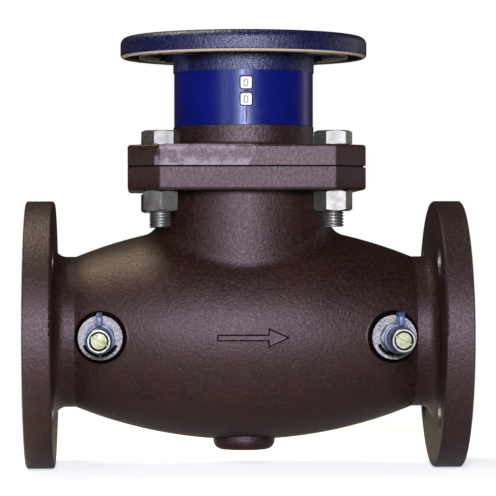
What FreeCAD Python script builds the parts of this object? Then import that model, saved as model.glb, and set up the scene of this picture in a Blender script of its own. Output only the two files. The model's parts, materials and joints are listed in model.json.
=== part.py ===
import FreeCAD, Part
import Sketcher
import math
import os
import re

# Flanged circuit balancing valve, globe pattern, DN65 (2 1/2 inch), class 125.
#
# The assembly is drawn about two axes: the pipe axis (X, along the flow) and the
# stem axis (Z), which cross at the local origin. Every finished sub-part is then
# placed at half the face-to-face length, so that the frame's origin is the middle
# of the inlet flange's face, with the flow along +X and the handwheel towards +Z.
# Millimetres throughout.

DIMENSIONS = {
    # body casting
    "face_to_face": 290.0,
    "flange_od": 178.0,
    "flange_thick": 19.0,
    "bolt_circle": 139.7,
    "inlet_hole": 19.0,
    "outlet_hole": 19.4,
    "pipe_bore": 65.0,
    "cast_wall": 9.0,
    "belly_lift": 2.0,
    "belly_rad": 72.0,
    "belly_half": 112.0,
    "pipe_neck_rad": 50.0,
    "pipe_neck_round": 8.0,
    "face_edge": 1.0,
    "throat_rad": 57.0,
    "throat_round": 12.0,
    "throat_bore_rad": 47.0,
    "foot_boss_rad": 20.5,
    "foot_boss_low": 76.5,
    "foot_boss_round": 6.0,
    "arrow_proud": 1.2,
    # bonnet joint
    "joint_level": 110.0,
    "square_side": 154.6,
    "square_corner": 20.6,
    "body_square_thick": 14.7,
    "bonnet_square_thick": 13.5,
    "gasket_thick": 1.2,
    "cast_edge": 2.0,
    "bolt_offset": 56.0,
    "bolt_rad": 7.0,
    "bolt_clearance": 0.6,
    "bolt_af": 22.0,
    "bolt_head": 9.4,
    "nut_height": 13.6,
    "bolt_tail": 10.2,
    # seat and disc
    "seat_level": 8.0,
    "seat_bore": 62.0,
    "seat_od": 74.0,
    "seat_plate": 10.0,
    "seat_proud": 2.0,
    "lift": 24.0,
    "thread_rad": 9.0,
    "guide_pin_rad": 4.0,
    "guide_pin_offset": 30.0,
    "guide_pin_low": 62.0,
    "guide_pin_high": 124.0,
    "disc_rad": 36.0,
    "carrier_rad": 16.0,
    "carrier_arm_rad": 38.0,
    "carrier_arm_low": 68.0,
    "carrier_arm_high": 78.0,
    "carrier_high": 80.0,
    # stem and its guides
    "well_rad": 40.0,
    "bush_low": 118.0,
    "bush_high": 158.0,
    "bush_rad": 12.0,
    "seal_section": 2.16,
    "stem_low": 56.0,
    "stem_rad": 8.0,
    "stem_end_rad": 7.0,
    "stem_nut_rad": 6.0,
    "stem_high": 195.0,
    "thrust_collar_rad": 14.5,
    "thrust_level": 116.85,
    "stop_rad": 2.5,
    "key_side": 4.0,
    "key_low": 169.0,
    "key_length": 16.0,
    "running_gap": 0.05,
    # indicator and handwheel
    "bonnet_neck_rad": 46.8,
    "drum_low": 138.6,
    "drum_high": 174.3,
    "drum_rad": 46.4,
    "drum_wall": 3.2,
    "dial_rad": 41.6,
    "dial_high": 9.6,
    "column_rad": 34.0,
    "window_wide": 7.7,
    "window_high": 8.4,
    "window_upper": 166.0,
    "window_lower": 155.1,
    "collar_rad": 47.0,
    "web_low": 183.6,
    "wheel_rad": 82.2,
    "wheel_low": 184.0,
    "wheel_high": 198.2,
    "rim_wide": 15.0,
    "spoke_wide": 17.0,
    "spoke_thick": 7.0,
    "hub_low": 166.0,
    "hub_high": 188.0,
    "skirt_low": 161.0,
    "skirt_in": 32.9,
    "skirt_out": 35.9,
    "drum_screw_rad": 1.5,
    "drum_screw_circle": 41.3,
    # pressure test plugs
    "port_offset": 95.0,
    "port_face": 66.0,
    "port_boss_rad": 14.4,
    "port_bore_rad": 3.5,
    "port_thread_rad": 6.5,
    "port_thread_deep": 14.0,
    "port_washer": 1.2,
    "plug_rad": 7.4,
    "plug_barrel": 36.0,
    "plug_flats": 17.0,
    "cap_rad": 8.1,
    "cap_length": 26.0,
    "insert_rad": 5.6,
    "strap_wide": 4.0,
}

HEX_BEARING = 17.0
DRUM_SCREW_BEARINGS = (90, 210, 330)
SPOKE_BEARINGS = (45, 135)

doc = FreeCAD.newDocument("BalancingValve")
sheet = doc.addObject("Spreadsheet::Sheet", "Dims")
for row, (alias, number) in enumerate(DIMENSIONS.items(), start=1):
    sheet.set("A%d" % row, alias.replace("_", " "))
    sheet.set("B%d" % row, str(number))
    sheet.setAlias("B%d" % row, alias)
doc.recompute()

FINISHED = []


def formula(text):
    """Point each dimension's name in the text at its cell in the sheet."""
    def cell(word):
        return "Dims." + word.group(0) if word.group(0) in DIMENSIONS else word.group(0)
    return re.sub(r"[A-Za-z_]\w*", cell, str(text))


def value(text):
    return float(sheet.evalExpression(str(text)))


def drive(thing, prop, text):
    thing.setExpression(prop, formula(text))


TURN = {
    "z": FreeCAD.Rotation(),
    "x": FreeCAD.Rotation(FreeCAD.Vector(0, 1, 0), 90),
    "-y": FreeCAD.Rotation(FreeCAD.Vector(1, 0, 0), 90),
}


def place(thing, at=("0", "0", "0"), axis="z", spin=0.0):
    """Put a solid at a driven point, its own Z along the named axis, spun about that axis."""
    about_self = FreeCAD.Rotation(FreeCAD.Vector(0, 0, 1), spin)
    thing.Placement = FreeCAD.Placement(FreeCAD.Vector(), TURN[axis].multiply(about_self))
    for letter, text in zip("xyz", at):
        drive(thing, "Placement.Base." + letter, text)
    return thing


def cylinder(rad, length, at=("0", "0", "0"), axis="z"):
    solid = doc.addObject("Part::Cylinder", "Round")
    drive(solid, "Radius", rad)
    drive(solid, "Height", length)
    return place(solid, at, axis)


def box(size, at, spin=0.0):
    """A block centred on X and Y about the point, standing on it in Z."""
    solid = doc.addObject("Part::Box", "Block")
    for prop, text in zip(("Length", "Width", "Height"), size):
        drive(solid, prop, text)
    middle = (
        "(%s) - cos(%g) * (%s) / 2 + sin(%g) * (%s) / 2" % (at[0], spin, size[0], spin, size[1]),
        "(%s) - sin(%g) * (%s) / 2 - cos(%g) * (%s) / 2" % (at[1], spin, size[0], spin, size[1]),
        at[2],
    )
    return place(solid, middle, "z", spin)


def hexagon(flats, height, at, axis="z", spin=0.0):
    solid = doc.addObject("Part::Prism", "Hexagon")
    solid.Polygon = 6
    drive(solid, "Circumradius", "(%s) / sqrt(3)" % flats)
    drive(solid, "Height", height)
    return place(solid, at, axis, spin)


def join(*solids):
    fused = doc.addObject("Part::MultiFuse", "Joined")
    fused.Shapes = list(solids)
    return fused


def cut(base, *tools):
    less = doc.addObject("Part::Cut", "Less")
    less.Base = base
    less.Tool = tools[0] if len(tools) == 1 else join(*tools)
    return less


def group(*solids):
    together = doc.addObject("Part::Compound", "Set")
    together.Links = list(solids)
    return together


def tube(outer, inner, length, at=("0", "0", "0"), axis="z"):
    return cut(cylinder(outer, length, at, axis), cylinder(inner, length, at, axis))


def origin_plane(body, role):
    return next(face for face in body.Origin.OriginFeatures if face.Role == role)


def outline_sketch(body, role, outline):
    """Closed outline in a body's plane, with every corner and radius driven by the sheet.

    A corner is (u, v) after a straight edge, or (u, v, radius, side) after an arc whose
    centre lies to the left (side 1) or to the right (side -1) of the way round.
    """
    sketch = body.newObject("Sketcher::SketchObject", body.Name + "Outline")
    sketch.AttachmentSupport = [(origin_plane(body, role), "")]
    sketch.MapMode = "FlatFace"
    corners = [FreeCAD.Vector(value(corner[0]), value(corner[1]), 0) for corner in outline]
    ends = []
    for index, corner in enumerate(outline):
        start, end = corners[index - 1], corners[index]
        if len(corner) == 2:
            edge = sketch.addGeometry(Part.LineSegment(start, end))
            ends.append((edge, 1, 2))
            continue
        rad, side = value(corner[2]), corner[3]
        chord = end - start
        left = FreeCAD.Vector(-chord.y, chord.x, 0).normalize() * side
        reach = math.sqrt(max(rad ** 2 - (chord.Length / 2) ** 2, 0.0))
        centre = (start + end) * 0.5 + left * reach
        first, last = (start, end) if side > 0 else (end, start)
        angles = [math.atan2(point.y - centre.y, point.x - centre.x) for point in (first, last)]
        circle = Part.Circle(centre, FreeCAD.Vector(0, 0, 1), rad)
        edge = sketch.addGeometry(Part.ArcOfCircle(circle, angles[0], angles[1]))
        ends.append((edge, 1, 2) if side > 0 else (edge, 2, 1))
        number = sketch.addConstraint(Sketcher.Constraint("Radius", edge, rad))
        sketch.renameConstraint(number, "rad%d" % index)
        drive(sketch, "Constraints.rad%d" % index, corner[2])
    for index, corner in enumerate(outline):
        edge, _, end = ends[index]
        following, start, _ = ends[(index + 1) % len(outline)]
        sketch.addConstraint(Sketcher.Constraint("Coincident", edge, end, following, start))
        for kind, axis, text, name in (
            ("DistanceX", -2, corner[0], "u"),
            ("DistanceY", -1, corner[1], "v"),
        ):
            if str(text) == "0":
                sketch.addConstraint(Sketcher.Constraint("PointOnObject", edge, end, axis))
                continue
            number = sketch.addConstraint(Sketcher.Constraint(kind, -1, 1, edge, end, value(text)))
            sketch.renameConstraint(number, "%s%d" % (name, index))
            drive(sketch, "Constraints.%s%d" % (name, index), text)
    return sketch


def turned(name, outline, about="V_Axis", lift="0"):
    """A body turned from an outline of (x or radius, z or radius) in the XZ plane."""
    body = doc.addObject("PartDesign::Body", name)
    sketch = outline_sketch(body, "XZ_Plane", outline)
    spun = body.newObject("PartDesign::Revolution", body.Name + "Spun")
    spun.Profile = sketch
    spun.ReferenceAxis = (sketch, [about])
    spun.Angle = 360.0
    return place(body, ("0", "0", lift))


def extruded(name, role, outline, depth, at=("0", "0", "0")):
    """A body padded from an outline, half the depth to each side of its plane or upwards."""
    body = doc.addObject("PartDesign::Body", name)
    sketch = outline_sketch(body, role, outline)
    pad = body.newObject("PartDesign::Pad", body.Name + "Pad")
    pad.Profile = sketch
    drive(pad, "Length", depth)
    pad.Midplane = role == "XZ_Plane"
    return place(body, at)


def finish(node, form):
    """Label a finished sub-part and place it on the stem axis, half-way along the valve."""
    holder = form
    if form.ExpressionEngine:
        holder = doc.addObject("Part::Compound", "Placed")
        holder.Links = [form]
    holder.Label = node
    drive(holder, "Placement.Base.x", "face_to_face / 2")
    FINISHED.append(holder)


def rounded(base, rad, wanted):
    """Round the edges that the test picks, found on the recomputed base."""
    doc.recompute()
    fillet = doc.addObject("Part::Fillet", "Rounded")
    fillet.Base = base
    size = value(rad)
    fillet.Edges = [
        (index, size, size)
        for index, edge in enumerate(base.Shape.Edges, start=1)
        if wanted(edge)
    ]
    return fillet


def is_level(edge, level):
    limits = edge.BoundBox
    return abs(limits.ZMin - level) < 0.01 and abs(limits.ZMax - level) < 0.01


# --- body casting -----------------------------------------------------------------


def arc_over(half_chord, rise):
    """Radius of the arc that rises this much over a half-chord."""
    return "((%s)^2 + (%s)^2) / (2 * (%s))" % (half_chord, rise, rise)


def square_plate(name, thick, level, side="square_side"):
    """The bonnet joint's square plate with cut corners."""
    half = "(%s) / 2" % side
    short = "(%s) / 2 - square_corner" % side
    corners = []
    for across, along in ((1, 1), (-1, 1), (-1, -1), (1, -1)):
        long_x = ("%d * (%s)" % (across, half), "%d * (%s)" % (along, short))
        long_y = ("%d * (%s)" % (across, short), "%d * (%s)" % (along, half))
        corners += [long_x, long_y] if across == along else [long_y, long_x]
    return extruded(name, "XY_Plane", corners, thick, ("0", "0", level))


def bolt_places():
    return [
        ("%d * bolt_offset" % across, "%d * bolt_offset" % along)
        for across in (-1, 1)
        for along in (-1, 1)
    ]


def bolt_clearances(level, length):
    return [cylinder("bolt_rad + bolt_clearance", length, (x, y, level)) for x, y in bolt_places()]


def pipe_flange(name, side):
    """One pipe flange with its machined face, softened back edge and bolt holes."""
    face = "%d * face_to_face / 2" % side
    back = "%d * (face_to_face / 2 - flange_thick)" % side
    edge = "flange_od / 2"
    disc = turned(name, [
        (face, "0"),
        (face, edge + " - face_edge"),
        ("%s - %d * face_edge" % (face, side), edge),
        ("%s + %d * cast_edge" % (back, side), edge),
        (back, edge + " - cast_edge", "cast_edge", side),
        (back, "0"),
    ], "H_Axis")
    neck_end = "%d * (face_to_face / 2 - flange_thick - pipe_neck_round)" % side
    root = "%s + %d * 2" % (back, side)
    neck = turned(name + "Neck", [
        (root, "0"),
        (root, "pipe_neck_rad + pipe_neck_round"),
        (back, "pipe_neck_rad + pipe_neck_round"),
        (neck_end, "pipe_neck_rad", "pipe_neck_round", -side),
        ("%s - %d * 6" % (neck_end, side), "pipe_neck_rad"),
        ("%s - %d * 6" % (neck_end, side), "0"),
    ], "H_Axis", "belly_lift")
    return join(disc, neck)


def flange_holes():
    """Four bolt holes through each flange, straddling the centre lines."""
    reach = "bolt_circle / 2 * sqrt(0.5)"
    flanges = (
        ("-face_to_face / 2 - 1", "inlet_hole / 2"),
        ("face_to_face / 2 - flange_thick - 4", "outlet_hole / 2"),
    )
    return [
        cylinder(
            radius,
            "flange_thick + 5",
            (start, "%d * %s" % (across, reach), "%d * %s" % (up, reach)),
            "x",
        )
        for start, radius in flanges
        for across in (-1, 1)
        for up in (-1, 1)
    ]


def flow_arrow():
    """Raised arrow on the belly's front, pointing downstream."""
    outline = [
        ("-19", "-1.3"),
        ("14", "-1.3"),
        ("14", "-5"),
        ("25", "0"),
        ("14", "5"),
        ("14", "1.3"),
        ("-19", "1.3"),
    ]
    half_pad = "5"
    middle = "-(belly_rad + arrow_proud - %s)" % half_pad
    return extruded("ArrowPad", "XZ_Plane", outline, "2 * %s" % half_pad, ("0", middle, "0"))


def outer_casting():
    belly = turned("Belly", [
        ("-(belly_half + 4)", "0"),
        ("-(belly_half + 4)", "pipe_neck_rad"),
        ("-belly_half", "pipe_neck_rad"),
        ("belly_half", "pipe_neck_rad", arc_over("belly_half", "belly_rad - pipe_neck_rad"), -1),
        ("belly_half + 4", "pipe_neck_rad"),
        ("belly_half + 4", "0"),
    ], "H_Axis", "belly_lift")
    throat = cylinder("throat_rad", "joint_level - body_square_thick / 2")
    foot = turned("FootBoss", [
        ("0", "0"),
        ("0", "-foot_boss_low"),
        ("foot_boss_rad - foot_boss_round", "-foot_boss_low"),
        ("foot_boss_rad", "foot_boss_round - foot_boss_low", "foot_boss_round", 1),
        ("foot_boss_rad", "0"),
    ])
    bosses = [
        cylinder("port_boss_rad", "port_face", ("%d * port_offset" % side, "0", "0"), "-y")
        for side in (-1, 1)
    ]

    def meets_throat(edge):
        """The seam lies high on the belly, under the joint, and is wider than the throat's radius."""
        limits = edge.BoundBox
        on_belly = limits.ZMin > value("belly_rad / 2") and limits.ZMax < value("belly_rad + belly_lift")
        return on_belly and limits.XLength > value("throat_rad")

    def meets_boss(edge):
        """The seam lies between the belly's middle and the boss's face, and is as tall as the boss."""
        limits = edge.BoundBox
        behind_face = limits.YMin > value("3 - port_face")
        before_axis = limits.YMax < value("-belly_rad / 2")
        as_tall = limits.ZLength > value("1.4 * port_boss_rad")
        as_wide = limits.XLength < value("2.8 * port_boss_rad")
        return behind_face and before_axis and as_tall and as_wide

    smooth = rounded(join(belly, throat), "throat_round", meets_throat)
    bossed = rounded(join(smooth, *bosses), "3.5", meets_boss)
    square = square_plate("BodySquare", "body_square_thick", "joint_level - body_square_thick")
    top = "joint_level"
    soft = rounded(square, "cast_edge", lambda edge: not is_level(edge, value(top)))
    flanges = [pipe_flange("InletFlange", -1), pipe_flange("OutletFlange", 1)]
    return join(bossed, foot, soft, flow_arrow(), *flanges)


def inner_passages():
    """Inlet and outlet halves, parted by the slanted walls and the seat's plate."""
    belly = turned("BellyRoom", [
        ("-(belly_half - 2)", "0"),
        ("-(belly_half - 2)", "pipe_bore / 2 + 2"),
        (
            "belly_half - 2",
            "pipe_bore / 2 + 2",
            arc_over("belly_half - 2", "belly_rad - cast_wall - pipe_bore / 2 - 2"),
            -1,
        ),
        ("belly_half - 2", "0"),
    ], "H_Axis", "belly_lift")
    bore = cylinder("pipe_bore / 2", "face_to_face + 2", ("-face_to_face / 2 - 1", "0", "0"), "x")
    throat = cylinder("throat_bore_rad", "joint_level + 1 - seat_level", ("0", "0", "seat_level"))
    partition = extruded("Partition", "XZ_Plane", [
        ("-52", "seat_level"),
        ("62", "seat_level"),
        ("94", "-72"),
        ("84", "-76"),
        ("52", "seat_level - seat_plate"),
        ("-62", "seat_level - seat_plate"),
        ("-94", "72"),
        ("-84", "76"),
    ], "belly_rad * 2.2")
    seat_hole = cylinder("seat_od / 2", "20", ("0", "0", "seat_level - 15"))
    return cut(join(belly, bore, throat), cut(partition, seat_hole))


def valve_body():
    tools = [inner_passages()]
    tools += flange_holes()
    tools += bolt_clearances("joint_level - 30", "40")
    for side in (-1, 1):
        at = ("%d * port_offset" % side, "0", "0")
        tools.append(cylinder("port_bore_rad", "port_face + 1", at, "-y"))
        threaded = (at[0], "port_thread_deep - port_face", "0")
        tools.append(cylinder("port_thread_rad", "port_thread_deep + 1", threaded, "-y"))
    finish("valve_body", cut(outer_casting(), *tools))


def seat_ring():
    low = "seat_level - seat_plate"
    high = "seat_level + seat_proud"
    finish("seat_ring", turned("SeatRing", [
        ("seat_bore / 2", low),
        ("seat_od / 2", low),
        ("seat_od / 2", high + " - 1"),
        ("seat_od / 2 - 1", high),
        ("seat_bore / 2 + 1", high),
        ("seat_bore / 2", high + " - 1"),
    ]))


# --- bonnet and its joint -----------------------------------------------------------


def bonnet():
    bottom = "joint_level + gasket_thick"
    top = bottom + " + bonnet_square_thick"
    square = square_plate("BonnetSquare", "bonnet_square_thick", bottom)
    soft = rounded(square, "cast_edge", lambda edge: not is_level(edge, value(bottom)))
    shelf = "window_lower + dial_high / 2"
    core = turned("BonnetCore", [
        ("bush_rad", "bush_low"),
        ("well_rad", "bush_low"),
        ("well_rad", bottom + " - 6"),
        ("throat_bore_rad - 0.3", bottom + " - 6"),
        ("throat_bore_rad - 0.3", bottom + " + 2"),
        ("bonnet_neck_rad + 3", bottom + " + 2"),
        ("bonnet_neck_rad + 3", top),
        ("bonnet_neck_rad", top + " + 3", "3", -1),
        ("bonnet_neck_rad", "drum_low - 0.3"),
        ("column_rad", "drum_low - 0.3"),
        ("column_rad", shelf),
        ("28", shelf),
        ("28", "146"),
        ("bush_rad + 4", "146"),
        ("bush_rad + 4", "bush_high"),
        ("bush_rad", "bush_high"),
    ])
    well = cylinder("well_rad", "bush_low - 100", ("0", "0", "100"))
    stem_way = cylinder("bush_rad", "80", ("0", "0", "100"))
    pins = [
        cylinder(
            "guide_pin_rad + running_gap",
            "guide_pin_high - bush_low + 1",
            ("%d * guide_pin_offset" % side, "0", "bush_low - 0.5"),
        )
        for side in (-1, 1)
    ]
    hollows = [well, stem_way] + pins + bolt_clearances("joint_level - 5", "40")
    finish("bonnet", cut(join(soft, core), *hollows))


def bonnet_gasket():
    sheet_plate = square_plate("GasketSheet", "gasket_thick", "joint_level", "square_side - 3")
    hole = cylinder("throat_bore_rad", "20", ("0", "0", "joint_level - 5"))
    finish("bonnet_gasket", cut(sheet_plate, hole, *bolt_clearances("joint_level - 5", "20")))


def chamfered_hexagon(flats, low, height, x, y, both_ends):
    """Hexagon whose corners are turned off at the top, and at the bottom too on a nut."""
    bevel = 1.6
    fall = bevel * 0.6
    corner = "(%s) / sqrt(3)" % flats
    profile = [("0", "0")]
    if both_ends:
        profile += [(corner + " - %g" % bevel, "0"), (corner, "%g" % fall)]
    else:
        profile += [(corner, "0")]
    profile += [
        (corner, "(%s) - %g" % (height, fall)),
        (corner + " - %g" % bevel, height),
        ("0", height),
    ]
    blank = turned("HexBlank", profile)
    place(blank, (x, y, low))
    shaped = doc.addObject("Part::Common", "ChamferedHexagon")
    shaped.Base = hexagon(flats, height, (x, y, low), "z", HEX_BEARING)
    shaped.Tool = blank
    return shaped


def bonnet_fasteners():
    head_seat = "joint_level + gasket_thick + bonnet_square_thick"
    nut_seat = "joint_level - body_square_thick"
    bolts = []
    nuts = []
    for x, y in bolt_places():
        tip = nut_seat + " - nut_height - bolt_tail"
        shank = cylinder("bolt_rad", "(%s) - (%s) + 1" % (head_seat, tip), (x, y, tip))
        head = chamfered_hexagon("bolt_af", head_seat, "bolt_head", x, y, False)
        bolts.append(join(shank, head))
        low = nut_seat + " - nut_height"
        blank = chamfered_hexagon("bolt_af", low, "nut_height", x, y, True)
        nuts.append(cut(blank, cylinder("bolt_rad + running_gap", "40", (x, y, "70"))))
    finish("bonnet_bolts", group(*bolts))
    finish("bonnet_nuts", group(*nuts))


def stem_guides():
    seal_levels = ("134", "142")
    groove_rad = "10.4"
    groove_wide = "2.6"
    grooves = [tube(groove_rad, "stem_end_rad", groove_wide, ("0", "0", level)) for level in seal_levels]
    bush = tube("bush_rad", "stem_rad + running_gap", "bush_high - bush_low", ("0", "0", "bush_low"))
    finish("guide_bush", cut(bush, *grooves))
    rings = []
    for level in seal_levels:
        ring = doc.addObject("Part::Torus", "SealRing")
        drive(ring, "Radius1", "stem_rad + 1.3")
        drive(ring, "Radius2", "seal_section / 2")
        rings.append(place(ring, ("0", "0", "%s + %s / 2" % (level, groove_wide))))
    finish("stem_seals", group(*rings))
    washer_low = "thrust_level + running_gap"
    washer_thick = "bush_low - (%s)" % washer_low
    finish("thrust_washer", tube("15", "stem_rad + 0.2", washer_thick, ("0", "0", washer_low)))
    pin_length = "guide_pin_high - guide_pin_low"
    pins = [
        cylinder("guide_pin_rad", pin_length, ("%d * guide_pin_offset" % side, "0", "guide_pin_low"))
        for side in (-1, 1)
    ]
    finish("guide_pins", group(*pins))


# --- closing disc ---------------------------------------------------------------------


def disc_set():
    contact = "seat_level + 2.1"
    disc_top = contact + " + 10"
    barrel = turned("CarrierBarrel", [
        ("0", disc_top),
        ("carrier_rad + 4", disc_top),
        ("carrier_rad + 4", disc_top + " + 5"),
        ("carrier_rad", disc_top + " + 9"),
        ("carrier_rad", "carrier_arm_low"),
        ("carrier_arm_rad", "carrier_arm_low"),
        ("carrier_arm_rad", "carrier_arm_high"),
        ("carrier_rad", "carrier_arm_high"),
        ("carrier_rad", "carrier_high"),
        ("0", "carrier_high"),
    ])
    thread_room = cylinder("thread_rad + running_gap", "carrier_high - 30", ("0", "0", "31"))
    pin_ways = [
        cylinder(
            "guide_pin_rad + running_gap",
            "carrier_arm_high - carrier_arm_low + 10",
            ("%d * guide_pin_offset" % side, "0", "carrier_arm_low - 5"),
        )
        for side in (-1, 1)
    ]
    screw_rad = "4"
    screw_hole = cylinder(screw_rad, "9", ("0", "0", contact + " + 5"))
    finish("disc_carrier", cut(barrel, thread_room, screw_hole, *pin_ways))
    disc = turned("DiscPlate", [
        (screw_rad, contact + " + 3"),
        ("disc_rad", contact + " + 3"),
        ("disc_rad", contact + " + 7"),
        ("disc_rad - 3", disc_top),
        (screw_rad, disc_top),
    ])
    finish("regulating_disc", disc)
    finish("disc_seal", tube("disc_rad - 0.5", "24", "3", ("0", "0", contact)))
    throttle = turned("ThrottleBody", [
        (screw_rad, contact + " - 6"),
        ("26", contact + " - 6"),
        ("29.5", contact + " - 0.5"),
        ("29.5", contact),
        ("23.9", contact),
        ("23.9", contact + " + 3"),
        (screw_rad, contact + " + 3"),
    ])
    finish("throttle_plug", throttle)
    head_high = "5.3"
    shank = cylinder(screw_rad + " - running_gap", "18", ("0", "0", contact + " - 6"))
    head = chamfered_hexagon("13", "0", head_high, "0", "0", True)
    place(head, ("0", "0", contact + " - 6 - " + head_high))
    finish("plug_screw", join(shank, head))


# --- stem, handwheel and indicator ------------------------------------------------------


def key_block(play):
    """The drive key, or with some play the keyway that it slides into."""
    side = "key_side + %g" % play
    length = "key_length + %g" % play
    return box((side, side, length), ("stem_end_rad", "0", "key_low - %g" % (play / 2)))


def stem_and_stop():
    spindle = turned("Spindle", [
        ("0", "stem_low"),
        ("thread_rad - 1", "stem_low"),
        ("thread_rad", "stem_low + 1"),
        ("thread_rad", "stem_low + 50"),
        ("stem_rad", "stem_low + 51"),
        ("stem_rad", "thrust_level - 6.85"),
        ("thrust_collar_rad", "thrust_level - 6.35"),
        ("thrust_collar_rad", "thrust_level"),
        ("stem_rad", "thrust_level"),
        ("stem_rad", "bush_high + 1"),
        ("stem_end_rad", "bush_high + 2"),
        ("stem_end_rad", "hub_high"),
        ("stem_nut_rad", "hub_high"),
        ("stem_nut_rad", "stem_high"),
        ("0", "stem_high"),
    ])
    stop_way = cylinder("stop_rad + running_gap", "140", ("0", "0", "stem_low + 4"))
    clip_groove = tube("stem_rad + 1", "stem_end_rad + 0.2", "1.3", ("0", "0", "bush_high + 0.3"))
    finish("stem", cut(spindle, stop_way, clip_groove, key_block(0.04)))
    finish("stem_clip", tube("10.5", "stem_end_rad + 0.25", "1.1", ("0", "0", "bush_high + 0.4")))
    finish("drive_key", key_block(0.0))
    stop_length = "66"
    stop_low = "126"
    screw = cylinder("stop_rad", stop_length, ("0", "0", stop_low))
    slot = box(("0.8", "6", "2"), ("0", "0", "%s + %s - 1.4" % (stop_low, stop_length)))
    finish("lift_stop_screw", cut(screw, slot))


def handwheel():
    rim_in = "wheel_rad - rim_wide"
    rim = turned("Rim", [
        (rim_in + " + 3", "wheel_low"),
        ("wheel_rad - 2.5", "wheel_low"),
        ("wheel_rad", "wheel_low + 2.5", "2.5", 1),
        ("wheel_rad", "wheel_high - 5"),
        ("wheel_rad - 5", "wheel_high", "5", 1),
        (rim_in + " + 5", "wheel_high"),
        (rim_in, "wheel_high - 5", "5", 1),
        (rim_in, "wheel_low + 3"),
    ])
    hub = turned("Hub", [
        ("stem_end_rad + 0.03", "hub_low"),
        ("14", "hub_low"),
        ("14", "web_low"),
        ("skirt_in", "web_low"),
        ("skirt_in", "skirt_low"),
        ("skirt_out", "skirt_low"),
        ("skirt_out", "drum_high"),
        ("collar_rad", "drum_high"),
        ("collar_rad", "hub_high - 1"),
        ("collar_rad - 3", "hub_high + 2", "3", 1),
        ("18", "hub_high + 2"),
        ("16", "hub_high"),
        ("stem_end_rad + 0.03", "hub_high"),
    ])
    spoke = ("wheel_rad * 2 - rim_wide", "spoke_wide", "spoke_thick")
    spokes = [box(spoke, ("0", "0", "web_low + 0.6"), spin) for spin in SPOKE_BEARINGS]
    eye = cylinder("20", "20", ("0", "0", "180"))
    arms = cut(join(*spokes), eye)
    holes = [cylinder("drum_screw_rad", "9", (x, y, "drum_high - 0.8")) for x, y in drum_screw_places()]
    finish("handwheel", cut(join(rim, hub, arms), key_block(0.04), *holes))
    washer_thick = "1.5"
    finish("wheel_washer", tube("12", "stem_nut_rad + 0.1", washer_thick, ("0", "0", "hub_high")))
    nut = chamfered_hexagon("17", "hub_high + " + washer_thick, "5.5", "0", "0", True)
    finish("wheel_nut", cut(nut, cylinder("stem_nut_rad + running_gap", "20", ("0", "0", "185"))))
    cap_in = "12.6"
    cap_out = "14"
    cap = turned("CapForm", [
        (cap_in, "hub_high"),
        (cap_out, "hub_high"),
        (cap_out, "hub_high + 6.5"),
        (cap_out + " - 1.7", "hub_high + 8.2", "1.7", 1),
        ("0", "hub_high + 8.2"),
        ("0", "hub_high + 7.1"),
        (cap_in, "hub_high + 7.1"),
    ])
    finish("hub_cap", cap)


def drum_screw_places():
    return [
        ("drum_screw_circle * cos(%d)" % bearing, "drum_screw_circle * sin(%d)" % bearing)
        for bearing in DRUM_SCREW_BEARINGS
    ]


def window_block(level, shrink):
    size = ("window_wide - %g" % shrink, "10", "window_high - %g" % shrink)
    return box(size, ("0", "-drum_rad", "%s - window_high / 2 + %g" % (level, shrink / 2)))


def indicator():
    shell = tube("drum_rad", "drum_rad - drum_wall", "drum_high - drum_low", ("0", "0", "drum_low"))
    lip = tube("drum_rad - 1", "38.6", "2.5", ("0", "0", "drum_high - 2.5"))
    windows = [window_block(level, 0) for level in ("window_upper", "window_lower")]
    holes = [cylinder("drum_screw_rad", "9", (x, y, "drum_high - 6.3")) for x, y in drum_screw_places()]
    sinks = [cylinder("2.4", "1.3", (x, y, "drum_high - 2.6")) for x, y in drum_screw_places()]
    finish("indicator_drum", cut(join(shell, lip), *(windows + holes + sinks)))
    screws = [
        join(
            cylinder("drum_screw_rad", "8.8", (x, y, "drum_high - 2.4")),
            cylinder("2.35", "1.2", (x, y, "drum_high - 2.5")),
        )
        for x, y in drum_screw_places()
    ]
    finish("drum_screws", group(*screws))
    lenses = []
    for level in ("window_upper", "window_lower"):
        lens = doc.addObject("Part::Common", "Lens")
        skin = tube("drum_rad - 0.4", "drum_rad - 1.6", "drum_high - drum_low", ("0", "0", "drum_low"))
        lens.Base = skin
        lens.Tool = window_block(level, 0.1)
        lenses.append(lens)
    finish("window_lenses", group(*lenses))
    finish("turns_ring", tube("dial_rad", "36", "dial_high", ("0", "0", "window_upper - dial_high / 2")))
    finish("ring_retainer", tube("38.5", "33.2", "0.7", ("0", "0", "160.3")))
    tenths_low = ("0", "0", "window_lower - dial_high / 2")
    finish("tenths_ring", tube("dial_rad", "column_rad + running_gap", "dial_high", tenths_low))


# --- pressure test plugs ------------------------------------------------------------------


def turned_to_front(name, outline, x):
    """A piece turned about a line towards the front, from (radius, distance from the pipe axis)."""
    piece = turned(name, outline)
    return place(piece, (x, "0", "0"), "-y")


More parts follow.
